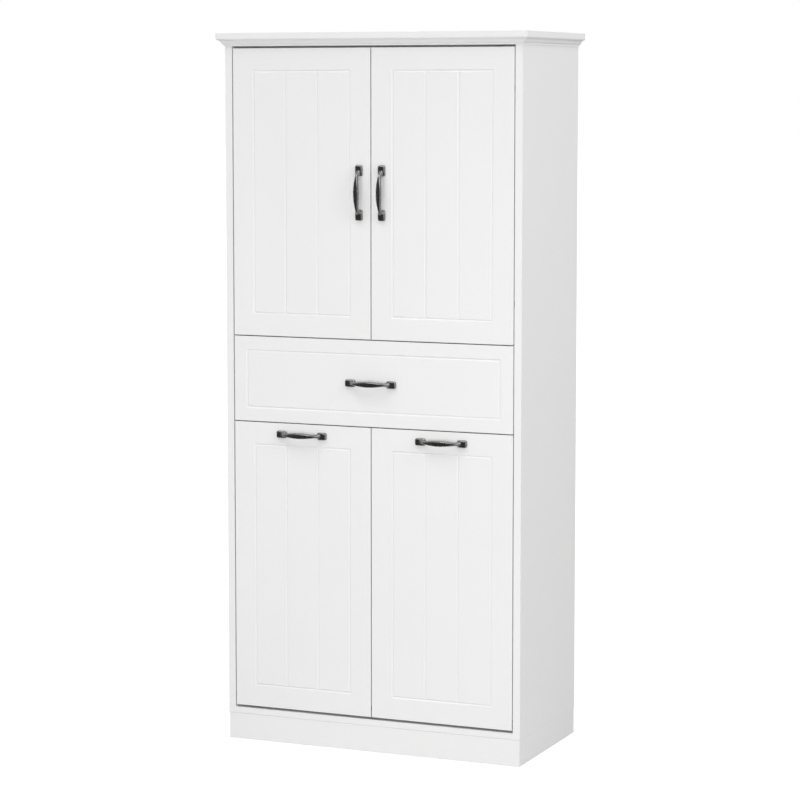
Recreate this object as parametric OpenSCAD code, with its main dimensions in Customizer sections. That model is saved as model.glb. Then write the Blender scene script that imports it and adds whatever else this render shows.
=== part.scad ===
// Bathroom laundry cabinet: two doors over a full-width drawer over two tilt-out
// laundry bins, in a carcass with a moulded cornice and a plinth.
// Millimetres. +Z up, the fronts face -Y, the origin is on the floor under the
// middle of the outer box (handles and cornice included).

/* [Cabinet] */
// Width across the two side panels
body_w = 640; // [600:10:720]
// Depth of the side panels
body_d = 320; // [310:5:380]
// Height from the floor to the top of the top board
body_h = 1445; // [1440:5:1520]
// Thickness of the carcass boards
panel_t = 15; // [15:1:16]
// Height of the plinth above the floor
plinth_h = 67; // [60:1:80]
// Thickness of the hardboard back
back_t = 3; // [3:0.5:4]

/* [Fronts] */
// Thickness of the doors, the drawer front and the bin fronts
front_t = 16; // [16:1:18]
// Height of the two bin fronts
bin_front_h = 588; // [580:1:596]
// Height of the drawer front
drawer_front_h = 173; // [165:1:180]
// Gap between neighbouring fronts
gap = 2; // [2:0.5:3]
// Gap above the doors
top_gap = 4; // [3:0.5:6]
// Gap under the bin fronts
foot_gap = 5; // [4:0.5:6]
// Width of a routed groove at the face
groove_w = 5.5; // [4:0.5:6]
// Depth of a routed groove
groove_d = 1.4; // [1:0.2:2]
// Distance from a front's edge to its routed rectangle
groove_in = 46; // [40:1:50]
// The same on the drawer front
drawer_groove_in = 29; // [25:1:35]

/* [Cornice] */
// How far the cornice stands out from the sides and the front
cornice_out = 14.5; // [12:0.5:18]
// Thickness of the top board
top_t = 14; // [12:1:15]
// Height of the moulding under the top board
moulding_h = 12; // [11:1:18]

/* [Handles] */
// Distance between a handle's two screws
handle_pitch = 96; // [96:16:128]
// How far a handle stands out
handle_out = 22; // [20:1:26]
// Height of a bin handle's line below the top of its front
bin_handle_drop = 22; // [20:1:26]

/* [Inside] */
// Rows of shelf-pin holes
pin_rows = 10; // [10:1:11]
// Height of the lower adjustable shelf's pins, in rows
low_shelf_row = 2; // [0:1:4]
// Height of the upper adjustable shelf's pins, in rows
high_shelf_row = 8; // [6:1:9]
// Travel of the drawer
drawer_travel = 240; // [200:10:240]
// Tilt of the laundry bins, in degrees
bin_tilt = 32; // [28:1:34]

/* [Hidden] */
$fn = 48;
e = 0.01;
W = body_w / 2;                    // outer face of a side panel
I = W - panel_t;                   // inner face of a side panel
F = -(body_d + handle_out) / 2 + handle_out;  // plane of the fronts
B = F + body_d;                    // plane of the back
BI = B - back_t;                   // inner face of the back
E = I - gap;                       // outer edge of a front
set_back = 20;                     // from the fronts' plane to the shelves' edges
low_back = 24;                     // the same for the bottom board, which the bins' edges swing past

top_z = body_h - top_t;            // underside of the top board
side_z1 = top_z - moulding_h;      // top of the side panels
bin_z0 = plinth_h + foot_gap;
bin_z1 = bin_z0 + bin_front_h;
drw_z0 = bin_z1 + gap;
drw_z1 = drw_z0 + drawer_front_h;
door_z0 = drw_z1 + gap;
door_z1 = side_z1 - top_gap;
low_shelf_z = bin_z1 + gap / 2 - panel_t / 2;    // underside of the shelf under the drawer
up_shelf_z = drw_z1 + gap / 2 - panel_t / 2;     // underside of the shelf under the doors
bottom_top = plinth_h + panel_t;

pin_z0 = door_z0 + 127;
pin_y = [F + 50, B - 50];
function pin_z(row) = pin_z0 + 32 * row;

hinge_z = [door_z0 + 80, door_z1 - 80];
hinge_x = E - 8;                   // hinge axis, from the outer edge of the door
hinge_y = F + 6.5;
cup_x = E - 21.5;

run_z = drw_z0 + 58;               // middle of the drawer runners
run_y = F + 22;
run_l = drawer_travel + 10;
box_x = I - 12.7;                  // outer face of the drawer's sides
box_t = 12;
box_z0 = drw_z0 + 16;
box_z1 = box_z0 + 120;
box_y1 = F + front_t + 270;

piv_y = F + 9;                     // axis on which a bin tilts
piv_z = bin_z0 + 12;
bin_t = 12;
bin_y1 = F + front_t + 240;        // back of a bin
bin_b0 = bottom_top + 6;           // underside of a bin
bin_s1 = bin_b0 + 476;             // top of a bin's sides
bin_out = I - 7;                   // outer face of a bin's outer side
bin_in = panel_t / 2 + 6.5;        // outer face of its inner side
stop_dy = 235;                     // stop peg, from the tilt axis
stop_dz = 300;

white = "whitesmoke";
inner = "white";
steel = "silver";
black = "dimgray";
board_back = "burlywood";
nylon = "gainsboro";

// ---- small helpers ----

// a box between two corners
module box(a, b) { translate(a) cube([b[0] - a[0], b[1] - a[1], b[2] - a[2]]); }

// turned so that a cylinder or an extrusion along Z runs along +Y or +X
module along_y() { rotate([-90, 0, 0]) children(); }
module along_x() { rotate([0, 90, 0]) children(); }

// a right-hand part, or its mirror image for the left
module side(s) { if (s > 0) children(); else mirror([1, 0, 0]) children(); }
module both() { children(); mirror([1, 0, 0]) children(); }

// rectangle with round corners, in the plane
module round_rect(w, h, r) {
  square([w - 2 * r, h], center = true);
  square([w, h - 2 * r], center = true);
  for (x = [-1, 1], y = [-1, 1]) translate([x * (w / 2 - r), y * (h / 2 - r)]) circle(r);
}

// pan-head screw along +X: head before the point, shank after it
module pan_x(p, len, r = 1.75, hr = 3.6, hh = 1.8) {
  translate(p) along_x() { translate([0, 0, -hh]) cylinder(h = hh, r = hr); cylinder(h = len, r = r); }
}
// pan-head screw along -Y: head behind the point, shank in front of it
module pan_ny(p, len, r = 1.75, hr = 4, hh = 1.8) {
  translate(p) rotate([90, 0, 0]) { translate([0, 0, -hh]) cylinder(h = hh, r = hr); cylinder(h = len, r = r); }
}

// ---- carcass ----

// where the back panels' screws go: [x, z]
back_up = concat([for (x = [-220, 0, 220]) [x, side_z1 - panel_t / 2]],
                 [for (x = [-220, 0, 220]) [x, up_shelf_z + panel_t - 3.5]],
                 [for (s = [-1, 1], k = [1, 2]) [s * (I + 3.5), up_shelf_z + panel_t + k * (side_z1 - up_shelf_z - panel_t) / 3]]);
back_low = concat([for (x = [-220, 0, 220]) [x, up_shelf_z + 3.5]],
                  [for (x = [-220, 0, 220]) [x, plinth_h + panel_t / 2]],
                  [for (s = [-1, 1], k = [1, 2, 3]) [s * (I + 3.5), plinth_h + k * (up_shelf_z - plinth_h) / 4]],
                  [for (k = [1, 2]) [0, plinth_h + k * (low_shelf_z - plinth_h) / 3]]);
module back_screws() {
  for (p = concat(back_up, back_low))
    translate([p[0], B, p[1]]) rotate([90, 0, 0]) { cylinder(h = 2, r1 = 3.2, r2 = 1.5); cylinder(h = 15, r = 1.5); }
}

// screws of the hinge plates, the runners and the pivot brackets, right side
hinge_plate_y = F + 46;
module hinge_screws() { for (z = hinge_z, dz = [-16, 16]) pan_x([I - 2, hinge_plate_y, z + dz], 13); }
module runner_screws() { for (y = [run_y + 20, run_y + run_l / 2, run_y + run_l - 20]) pan_x([I - 1.2, y, run_z], 12, 1.75, 3.4, 1.4); }
bracket_y = [F + 38, F + 56];
module bracket_screws() {
  for (y = bracket_y) {
    pan_x([I - 4, y, piv_z + 3], 14, 1.75, 3.2, 1.4);
    translate([panel_t / 2 + 4, y, piv_z + 3]) mirror([1, 0, 0]) pan_x([0, 0, 0], 10.5, 1.75, 3.2, 1.4);
  }
}
module carcass_screws() {
  color(steel) {
    back_screws();
    both() { hinge_screws(); runner_screws(); bracket_screws(); }
  }
}

// knock-down fittings: a cam in the board's underside and a bolt into the side panel
cam_y = [F + 60, B - 60];
cam_z = [side_z1 - panel_t, up_shelf_z, low_shelf_z, plinth_h];
module cam_bolt(y, z, r = 3, more = 0) { translate([I - 38 - more, y, z + panel_t / 2]) along_x() cylinder(h = 48 + more, r = r); }
module cam(y, z) { translate([I - 34, y, z]) cylinder(h = 12, r = 7.5); }
module cam_set(z) { both() for (y = cam_y) { cam(y, z); cam_bolt(y, z, 3.05, 0.1); } }
module cam_fittings() {
  color(steel) both() for (y = cam_y, z = cam_z) {
    cam_bolt(y, z);
    difference() { cam(y, z); cam_bolt(y, z, 3.1, 0.1); }
  }
}

module side_panel(s) {
  color(white) side(s) difference() {
    box([I, F, plinth_h], [W, B, side_z1]);
    // rebate for the back
    box([I - e, BI, plinth_h - 1], [I + 7.5, B + 1, side_z1 + 1]);
    for (k = [0:pin_rows - 1], y = pin_y)
      translate([I - 1, y, pin_z(k)]) along_x() cylinder(h = 10, r = 2.5);
    for (y = cam_y, z = cam_z) cam_bolt(y, z, 3.05);
    hinge_screws();
    runner_screws();
    bracket_screws();
    side(s) back_screws();
  }
}

module cross_board(z, y0, y1) {
  color(inner) difference() {
    box([-I, y0, z], [I, y1, z + panel_t]);
    cam_set(z);
    back_screws();
  }
}
module carcass_top() { cross_board(side_z1 - panel_t, F + set_back, BI); }
module upper_shelf() { cross_board(up_shelf_z, F + set_back, BI); }
module lower_shelf() { cross_board(low_shelf_z, F + set_back, BI); }
module bottom_panel() { cross_board(plinth_h, F + low_back, BI); }

module centre_divider() {
  color(inner) difference() {
    box([-panel_t / 2, F + low_back, bottom_top], [panel_t / 2, BI, low_shelf_z]);
    both() bracket_screws();
    back_screws();
  }
}

// board across the top of the back, drilled for two wall screws
rail_h = 80;
rail_z = side_z1 - panel_t - rail_h;
wall_x = 200;
module wall_holes(r) { for (x = [-wall_x, wall_x]) translate([x, B - 40, rail_z + rail_h / 2]) along_y() cylinder(h = 60, r = r); }
module back_rail() {
  color(inner) difference() {
    box([-I, BI - panel_t, rail_z], [I, BI, rail_z + rail_h]);
    wall_holes(3);
  }
}

back_split = up_shelf_z + panel_t / 2;
module back_panel_upper() {
  color(board_back) difference() {
    union() {
      box([-I - 7, BI, back_split + 0.5], [I + 7, B, side_z1]);
      // closes the space behind the moulding
      box([-W + panel_t + 5, BI, side_z1 - 1], [W - panel_t - 5, B, top_z]);
    }
    back_screws();
    wall_holes(3.5);
  }
}
module back_panel_lower() {
  color(board_back) difference() {
    box([-I - 7, BI, plinth_h], [I + 7, B, back_split - 0.5]);
    back_screws();
  }
}

// ---- top board and cornice ----

// quarter circle of points about c from angle a, n steps
function arc(c, r, a0, a1, n) = [for (i = [0:n]) c + r * [cos(a0 + (a1 - a0) * i / n), sin(a0 + (a1 - a0) * i / n)]];
OX = W + cornice_out;
OY = F - cornice_out;
round_r = 3.5;
module top_board() {
  color(white) intersection() {
    // section across, with its two lower corners round
    translate([0, B, 0]) rotate([90, 0, 0]) linear_extrude(B - OY)
      polygon(concat([[OX, body_h], [-OX, body_h]],
        arc([-OX + round_r, top_z + round_r], round_r, 180, 270, 5),
        arc([OX - round_r, top_z + round_r], round_r, 270, 360, 5)));
    // section from front to back, with its lower front corner round
    translate([-OX, 0, 0]) rotate([90, 0, 90]) linear_extrude(2 * OX)
      polygon(concat([[B, top_z], [B, body_h], [OY, body_h]],
        arc([OY + round_r, top_z + round_r], round_r, 180, 270, 5)));
  }
}

// moulding section: x is outward from the carcass, y is up from the moulding's foot
mould_in = panel_t + 5;
ogee_n = 10;
function ogee(t) = [2.6 + (cornice_out - 6.6) * (t + 0.1 * sin(360 * t)), 3 + (moulding_h - 3) * t];
mould = concat([[-mould_in, 0], [2.2, 0], [2.2, 3]], [for (i = [0:ogee_n]) ogee(i / ogee_n)], [[-mould_in, moulding_h]]);

// the piece of a run that lies between its mitres, seen from above
module mitre_front(d) { linear_extrude(body_h) polygon([[-W - d, F - d], [W + d, F - d], [W - mould_in, F + mould_in], [-W + mould_in, F + mould_in]]); }
module mitre_right(d) { linear_extrude(body_h) polygon([[W + d, F - d], [W + d, B], [W - mould_in, B], [W - mould_in, F + mould_in]]); }

module cornice_front() {
  color(white) intersection() {
    translate([-OX, F, side_z1]) rotate([90, 0, 90]) mirror([1, 0, 0]) linear_extrude(2 * OX) polygon(mould);
    mitre_front(cornice_out);
  }
}
module cornice_side(s) {
  color(white) side(s) intersection() {
    translate([W, B, side_z1]) rotate([90, 0, 0]) linear_extrude(B - OY) polygon(mould);
    mitre_right(cornice_out);
  }
}

// ---- plinth ----

glide_h = 1;
// the lower part of the plinth lies a little behind its top band
band_h = 12;
plinth_sec = [[-panel_t, glide_h], [-0.8, glide_h], [-0.8, plinth_h - band_h - 0.8], [0, plinth_h - band_h], [0, plinth_h], [-panel_t, plinth_h]];
glide_at = concat([for (s = [-1, 1], y = [F + 34, B - 34]) [s * (W - panel_t / 2), y]],
                  [for (x = [-150, 150], y = [F + panel_t / 2, B - panel_t / 2]) [x, y]]);
module glide_nails() { for (p = glide_at) translate([p[0], p[1], 0.5]) cylinder(h = 14, r = 1.1); }
module plinth_mitre(r) {
  linear_extrude(plinth_h + 1)
    if (r) polygon([[W + 1, F - 1], [W + 1, B], [I, B], [I, F + panel_t]]);
    else polygon([[-W - 1, F - 1], [W + 1, F - 1], [I, F + panel_t], [-I, F + panel_t]]);
}
module plinth_front() {
  color(white) difference() {
    intersection() {
      translate([-W, F, 0]) rotate([90, 0, 90]) mirror([1, 0, 0]) linear_extrude(2 * W) polygon(plinth_sec);
      plinth_mitre(false);
    }
    glide_nails();
  }
}
module plinth_side(s) {
  color(white) side(s) difference() {
    intersection() {
      translate([W, B, 0]) rotate([90, 0, 0]) linear_extrude(body_d) polygon(plinth_sec);
      plinth_mitre(true);
    }
    glide_nails();
  }
}
module plinth_back() {
  color(white) difference() {
    box([-I, B - panel_t, glide_h], [I, B, plinth_h]);
    glide_nails();
  }
}
module glides() {
  color(nylon) {
    for (p = glide_at) translate([p[0], p[1], 0]) { cylinder(h = glide_h, r = 6.5); translate([0, 0, 0.5]) cylinder(h = 14, r = 1.1); }
  }
}

// ---- adjustable shelves ----

shelf_rows = [low_shelf_row, high_shelf_row];
tab_h = 5;
module adjustable_shelves() {
  color(inner) for (k = shelf_rows)
    box([-I + 1, F + low_back, pin_z(k) + 2.5], [I - 1, BI - 2, pin_z(k) + 2.5 + panel_t]);
}
module shelf_pins() {
  color(nylon) both() for (k = shelf_rows, y = pin_y) {
    translate([I - 1, y, pin_z(k)]) along_x() cylinder(h = 9, r = 2.5);
    box([I - 9, y - 5, pin_z(k) + 2.5 - tab_h], [I, y + 5, pin_z(k) + 2.5]);
  }
}

// ---- door hinges ----

arm_h = 12;
module hinge_arm(z) {
  translate([0, 0, z]) {
    difference() {
      union() {
        translate([hinge_x, hinge_y, -arm_h / 2]) cylinder(h = arm_h, r = 2.4);
        box([hinge_x - 2, hinge_y + 1.5, -arm_h / 2], [hinge_x + 2, F + 24, arm_h / 2]);
        box([hinge_x - 2, F + 20, -arm_h / 2], [I - 2, F + 24, arm_h / 2]);
        box([I - 6, F + 20, -arm_h / 2], [I - 2, F + 70, arm_h / 2]);
        box([I - 2, F + 30, -25], [I, F + 62, 25]);
      }
      translate([hinge_x, hinge_y, -arm_h]) cylinder(h = 2 * arm_h, r = 1.3);
    }
  }
}
module hinge_arms() {
  color(steel) both() difference() {
    for (z = hinge_z) hinge_arm(z);
    hinge_screws();
  }
}

module hinge_pin(z, r = 1.25, more = 0) { translate([hinge_x, hinge_y, z - 9.2 - more]) cylinder(h = 18.4 + 2 * more, r = r); }
module arm_slot(z) { box([hinge_x - 5, F + 3.3, z - 7.5], [I + 5, F + front_t + 5, z + 7.5]); }
module cup_screws(z) { for (dz = [-24, 24]) pan_ny([cup_x - 5.5, F + front_t + 2, z + dz], 12); }
module hinge_cup(z) {
  difference() {
    union() {
      translate([cup_x, F + 3.3, z]) along_y() cylinder(h = front_t - 3.3, r = 17.45);
      translate([cup_x, F + front_t, z]) along_y() linear_extrude(2) union() {
        circle(19);
        translate([-5.5, 0]) square([12, 48], center = true);
        for (dz = [-24, 24]) translate([-5.5, dz]) circle(6);
      }
    }
    translate([cup_x, F + 3.8, z]) along_y() cylinder(h = front_t, r = 16.5);
    arm_slot(z);
    hinge_pin(z, 1.28, 0.05);
    cup_screws(z);
  }
}
module hinge_cups(s) {
  color(steel) side(s) for (z = hinge_z) { hinge_cup(z); hinge_pin(z); }
}

// ---- fronts ----

// board with its four front edges rounded, between x0, x1 and z0, z1
edge_r = 1;
module front_board(x0, x1, z0, z1) {
  y1 = F + front_t;
  r = edge_r;
  intersection() {
    translate([0, 0, z0]) linear_extrude(z1 - z0)
      polygon(concat([[x1, y1], [x0, y1]], arc([x0 + r, F + r], r, 180, 270, 4), arc([x1 - r, F + r], r, 270, 360, 4)));
    translate([x0, 0, 0]) rotate([90, 0, 90]) linear_extrude(x1 - x0)
      polygon(concat([[y1, z0], [y1, z1]], arc([F + r, z1 - r], r, 90, 180, 4), arc([F + r, z0 + r], r, 180, 270, 4)));
  }
}

// groove section: across and depth
g = groove_w / 2;
groove_sec = [[-g, 0.5], [-g, 0], [-0.5, -groove_d], [0.5, -groove_d], [g, 0], [g, 0.5]];
// groove along z at x, from z0 to z1, cut into the face
module groove_z(x, z0, z1) { translate([x, F, z0]) mirror([0, 1, 0]) linear_extrude(z1 - z0) polygon(groove_sec); }
module groove_x(z, x0, x1) { translate([x0, F, z]) rotate([90, 0, 90]) linear_extrude(x1 - x0) polygon([for (p = groove_sec) [-p[1], p[0]]]); }
// plan of a mitred run, seen from the front
module run_plan(pts) { translate([0, F + 5, 0]) rotate([90, 0, 0]) linear_extrude(10) polygon(pts); }
module groove_frame(x0, x1, z0, z1) {
  intersection() { groove_z(x0, z0 - g, z1 + g); run_plan([[x0 - g, z0 - g], [x0 + g, z0 + g], [x0 + g, z1 - g], [x0 - g, z1 + g]]); }
  intersection() { groove_z(x1, z0 - g, z1 + g); run_plan([[x1 + g, z0 - g], [x1 + g, z1 + g], [x1 - g, z1 - g], [x1 - g, z0 + g]]); }
  intersection() { groove_x(z0, x0 - g, x1 + g); run_plan([[x0 - g, z0 - g], [x1 + g, z0 - g], [x1 - g, z0 + g], [x0 + g, z0 + g]]); }
  intersection() { groove_x(z1, x0 - g, x1 + g); run_plan([[x0 - g, z1 + g], [x0 + g, z1 - g], [x1 - g, z1 - g], [x1 + g, z1 + g]]); }
}
module plank_grooves(z0, z1) {
  xa = gap / 2 + groove_in; xb = E - groove_in;
  groove_frame(xa, xb, z0 + groove_in, z1 - groove_in);
  for (k = [1, 2]) groove_z(xa + k * (xb - xa) / 3, z0 + groove_in, z1 - groove_in);
}

// the two screws of a handle, and the holes for them
module handle_screws_at(c, up) {
  for (d = [-1, 1]) pan_ny([c[0] + (up ? 0 : d * handle_pitch / 2), F + front_t, c[1] + (up ? d * handle_pitch / 2 : 0)], front_t + 6, 2);
}
module handle_holes_at(c, up) {
  for (d = [-1, 1]) translate([c[0] + (up ? 0 : d * handle_pitch / 2), F - 1, c[1] + (up ? d * handle_pitch / 2 : 0)]) along_y() cylinder(h = front_t + 2, r = 2.5);
}

// bow handle, along X about its own middle, standing out along -Y from y = 0
foot_out = 7;                      // a foot's outer end, from its screw
foot_in = 11.5;                    // its inner end
foot_w = 14;
foot_t = 7;
bow_n = 24;
bow_m = 12;
bow_x = handle_pitch / 2 - 7;
// middle line, direction, half width and half thickness of the bow, for s from -1 to 1
function bow(s) = let (a = 90 * s) [bow_x * sign(s) * pow(abs(sin(a)), 0.86), -(5 + (handle_out - 7.6) * pow(max(0, cos(a)), 0.62))];
function bow_dir(s) = let (a = bow(max(-1, s - 0.02)), b = bow(min(1, s + 0.02)), d = b - a) d / norm(d);
function bow_wide(s) = let (u = min(1, abs(bow(s)[0]) / (bow_x - 7))) 2.4 + 2.7 * pow(1 - u * u, 1.25);
function bow_thick(s) = 2.2 + 0.4 * (1 - s * s);
bow_pts = [for (i = [0:bow_n]) let (s = -1 + 2 * i / bow_n, c = bow(s), t = bow_dir(s), n = [-t[1], t[0]])
            for (j = [0:bow_m - 1]) let (a = 360 * j / bow_m)
              [c[0] + n[0] * bow_thick(s) * cos(a), c[1] + n[1] * bow_thick(s) * cos(a), bow_wide(s) * sin(a)]];
bow_faces = concat(
  [for (i = [0:bow_n - 1], j = [0:bow_m - 1]) [i * bow_m + j, (i + 1) * bow_m + j, (i + 1) * bow_m + (j + 1) % bow_m, i * bow_m + (j + 1) % bow_m]],
  [[for (j = [0:bow_m - 1]) j]],
  [[for (j = [bow_m - 1:-1:0]) bow_n * bow_m + j]]);
// box with a base of 18.5 by 14 and a smaller, rounder top
module foot() {
  translate([(foot_out - foot_in) / 2, 0, 0]) rotate([90, 0, 0]) hull() {
    linear_extrude(3) round_rect(foot_out + foot_in, foot_w, 3);
    linear_extrude(foot_t - 1) round_rect(foot_out + foot_in - 2, foot_w - 2, 3);
    linear_extrude(foot_t) round_rect(foot_out + foot_in - 5, foot_w - 5, 2.5);
  }
}
module handle_shape() {
  difference() {
    union() {
      polyhedron(bow_pts, bow_faces, 4);
      for (m = [0, 1]) mirror([m, 0, 0]) translate([handle_pitch / 2, 0, 0]) foot();
    }
    for (x = [-handle_pitch / 2, handle_pitch / 2]) translate([x, 1, 0]) rotate([90, 0, 0]) cylinder(h = 7, r = 2);
  }
}
module handle_at(c, up) { color(black) translate([c[0], F, c[1]]) rotate([0, up ? 90 : 0, 0]) handle_shape(); }

// ---- doors ----

door_c = [gap / 2 + 23.5, (door_z0 + door_z1) / 2 + 2.5];
module door(s) {
  color(white) side(s) difference() {
    front_board(gap / 2, E, door_z0, door_z1);
    plank_grooves(door_z0, door_z1);
    handle_holes_at(door_c, true);
    for (z = hinge_z) {
      translate([cup_x, F + 3.3, z]) along_y() cylinder(h = front_t, r = 17.45);
      arm_slot(z);
      cup_screws(z);
    }
  }
}
module door_handle(s) { side(s) handle_at(door_c, true); }
module door_screws(s) {
  color(steel) side(s) { handle_screws_at(door_c, true); for (z = hinge_z) cup_screws(z); }
}

// ---- drawer ----

drw_c = [0, (drw_z0 + drw_z1) / 2];
bot_z = box_z0 + 8;
bot_t = 3;
module drawer_front() {
  color(white) difference() {
    front_board(-E, E, drw_z0, drw_z1);
    groove_frame(-E + drawer_groove_in, E - drawer_groove_in, drw_z0 + drawer_groove_in, drw_z1 - drawer_groove_in);
    handle_holes_at(drw_c, false);
    box([-box_x + 5, F + front_t - 5, bot_z], [box_x - 5, F + front_t + 1, bot_z + bot_t]);
  }
}
module drawer_sides() {
  color(inner) both() difference() {
    box([box_x - box_t, F + front_t, box_z0], [box_x, box_y1, box_z1]);
    box([box_x - box_t - 1, F + front_t - 1, bot_z], [box_x - 5, box_y1 + 1, bot_z + bot_t]);
    drawer_runner_screws();
  }
}
module drawer_back() { color(inner) box([-box_x + box_t, box_y1 - box_t, bot_z + bot_t], [box_x - box_t, box_y1, box_z1]); }
module drawer_bottom() { color(inner) box([-box_x + 5, F + front_t - 5, bot_z], [box_x - 5, box_y1, bot_z + bot_t]); }

// sections of the runner members: x is inward from the side panel, y is up
run_out = [[0, -22.5], [8.5, -22.5], [8.5, -21.3], [1.2, -21.3], [1.2, 21.3], [8.5, 21.3], [8.5, 22.5], [0, 22.5]];
run_mid = [[2.2, -18.5], [9.5, -18.5], [9.5, -17.3], [6.4, -17.3], [6.4, 17.3], [9.5, 17.3], [9.5, 18.5], [2.2, 18.5], [2.2, 17.3], [5.2, 17.3], [5.2, -17.3], [2.2, -17.3]];
run_in = [[12.7, -14.5], [12.7, 14.5], [7.4, 14.5], [7.4, 13.3], [11.5, 13.3], [11.5, -13.3], [7.4, -13.3], [7.4, -14.5]];
module runner(sec) { translate([I, run_y, run_z]) rotate([90, 0, 0]) mirror([1, 0, 0]) mirror([0, 0, 1]) linear_extrude(run_l) polygon(sec); }
module drawer_runner_screws() {
  for (y = [run_y + 35, run_y + run_l - 45]) translate([I - 11.5, y, run_z]) mirror([1, 0, 0]) pan_x([0, 0, 0], 11, 1.75, 3.4, 1.4);
}
module drawer_runners_outer() { color(steel) both() difference() { runner(run_out); runner_screws(); } }
module drawer_runners_middle() { color(steel) both() runner(run_mid); }
module drawer_runners_inner() { color(steel) both() difference() { runner(run_in); drawer_runner_screws(); } }
// two rows of balls in each channel, above and below
ball_r = 1.25;
module drawer_runner_balls() {
  color(steel) both() for (k = [0:5], v = [-1, 1]) {
    translate([I - 5, run_y + 60 + 9 * k, run_z + v * (18.5 + ball_r)]) sphere(ball_r);
    translate([I - 8.4, run_y + run_l - 75 + 9 * k, run_z + v * (17.3 - ball_r)]) sphere(ball_r);
  }
}
module drawer_screws() { color(steel) { handle_screws_at(drw_c, false); both() drawer_runner_screws(); } }

// ---- laundry bins ----

bin_c = [(gap / 2 + E) / 2, bin_z1 - bin_handle_drop];
// steel ear on the side panel or the divider, with the eye that a bin's pin turns in
module pivot_ear(x0, x1) {
  difference() {
    union() {
      translate([x0, piv_y, piv_z]) along_x() cylinder(h = x1 - x0, r = 6);
      box([x0, piv_y, bottom_top], [x1, F + 64, piv_z + 8]);
    }
    translate([x0 - 1, piv_y, piv_z]) along_x() cylinder(h = x1 - x0 + 2, r = 3.05);
  }
}
module bin_pivot_brackets() {
  color(steel) both() difference() {
    union() { pivot_ear(I - 4, I); pivot_ear(panel_t / 2, panel_t / 2 + 4); }
    bracket_screws();
  }
}

// where the stop peg is when the bin is fully open
stop_a = atan2(stop_dy, stop_dz) - bin_tilt;
stop_r = norm([stop_dy, stop_dz]);
stop_y = piv_y + stop_r * sin(stop_a) - 3.4;
stop_z = piv_z + stop_r * cos(stop_a);
module bin_stops() {
  color(nylon) both() {
    box([I - 4.6, stop_y - 16, stop_z - 10], [I, stop_y, stop_z + 10]);
    box([panel_t / 2, stop_y - 16, stop_z - 10], [panel_t / 2 + 4.1, stop_y, stop_z + 10]);
  }
}

pin_l = 16.5;
module pivot_pins() {
  translate([I - 0.5 - pin_l, piv_y, piv_z]) along_x() cylinder(h = pin_l, r = 3);
  translate([panel_t / 2 + 0.5, piv_y, piv_z]) along_x() cylinder(h = pin_l, r = 3);
}
module stop_pegs() {
  translate([bin_out - bin_t, piv_y + stop_dy, piv_z + stop_dz]) along_x() cylinder(h = pin_l, r = 3);
  translate([bin_in + bin_t - pin_l, piv_y + stop_dy, piv_z + stop_dz]) along_x() cylinder(h = pin_l, r = 3);
}
module bin_pins(s) { color(steel) side(s) { pivot_pins(); stop_pegs(); } }

module bin_front(s) {
  color(white) side(s) difference() {
    front_board(gap / 2, E, bin_z0, bin_z1);
    plank_grooves(bin_z0, bin_z1);
    handle_holes_at(bin_c, false);
    // room for the pivot ears at the two lower corners of the back
    box([I - 5, F + 2.5, bin_z0 - 1], [I + 1, F + front_t + 1, piv_z + 9.5]);
    box([0, F + 2.5, bin_z0 - 1], [panel_t / 2 + 5, F + front_t + 1, piv_z + 9.5]);
    pivot_pins();
  }
}
side_r = 12;
module bin_sides(s) {
  color(inner) side(s) difference() {
    for (x = [bin_in, bin_out - bin_t]) translate([x, 0, 0]) rotate([90, 0, 90]) linear_extrude(bin_t)
      polygon(concat([[bin_y1, bin_b0], [bin_y1, bin_s1 - side_r]],
        arc([bin_y1 - side_r, bin_s1 - side_r], side_r, 0, 90, 8),
        [[F + front_t, bin_s1], [F + front_t, bin_b0]]));
    stop_pegs();
  }
}
bin_back_t = 8;
bin_base_t = 9;
bin_x0 = bin_in + bin_t;
bin_x1 = bin_out - bin_t;
module bin_back(s) { color(inner) side(s) box([bin_x0, bin_y1 - bin_back_t, bin_b0], [bin_x1, bin_y1, bin_s1 - 30]); }
module bin_base(s) { color(inner) side(s) box([bin_x0, F + front_t, bin_b0], [bin_x1, bin_y1 - bin_back_t, bin_b0 + bin_base_t]); }
module bin_screws(s) { color(steel) side(s) handle_screws_at(bin_c, false); }
// fabric bag: outer shape with its open top
bag_w = 3;
module bin_bag(s) {
  color("linen") side(s) difference() {
    box([bin_x0 + 2, F + front_t + 4, bin_b0 + bin_base_t + 0.4], [bin_x1 - 2, bin_y1 - bin_back_t - 2, bin_s1 - 6]);
    box([bin_x0 + 2 + bag_w, F + front_t + 4 + bag_w, bin_b0 + bin_base_t + 0.4 + bag_w], [bin_x1 - 2 - bag_w, bin_y1 - bin_back_t - 2 - bag_w, bin_s1]);
  }
}

// ---- what is shown ----

side_panel(-1);  // side_panel_left
side_panel(1);  // side_panel_right
carcass_top();
upper_shelf();
lower_shelf();
bottom_panel();
centre_divider();
back_rail();
back_panel_upper();
back_panel_lower();
top_board();
cornice_front();
cornice_side(-1);  // cornice_left
cornice_side(1);  // cornice_right
plinth_front();
plinth_side(-1);  // plinth_left
plinth_side(1);  // plinth_right
plinth_back();
glides();
adjustable_shelves();
shelf_pins();
hinge_arms();
drawer_runners_outer();
bin_pivot_brackets();
bin_stops();
carcass_screws();
cam_fittings();
door(-1);  // door_left
door_handle(-1);  // door_left_handle
hinge_cups(-1);  // door_left_hinge_cups
door_screws(-1);  // door_left_screws
door(1);  // door_right
door_handle(1);  // door_right_handle
hinge_cups(1);  // door_right_hinge_cups
door_screws(1);  // door_right_screws
drawer_front();
handle_at(drw_c, false);  // drawer_handle
drawer_sides();
drawer_back();
drawer_bottom();
drawer_runners_inner();
drawer_screws();
drawer_runners_middle();
drawer_runner_balls();
bin_front(-1);  // bin_left_front
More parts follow.
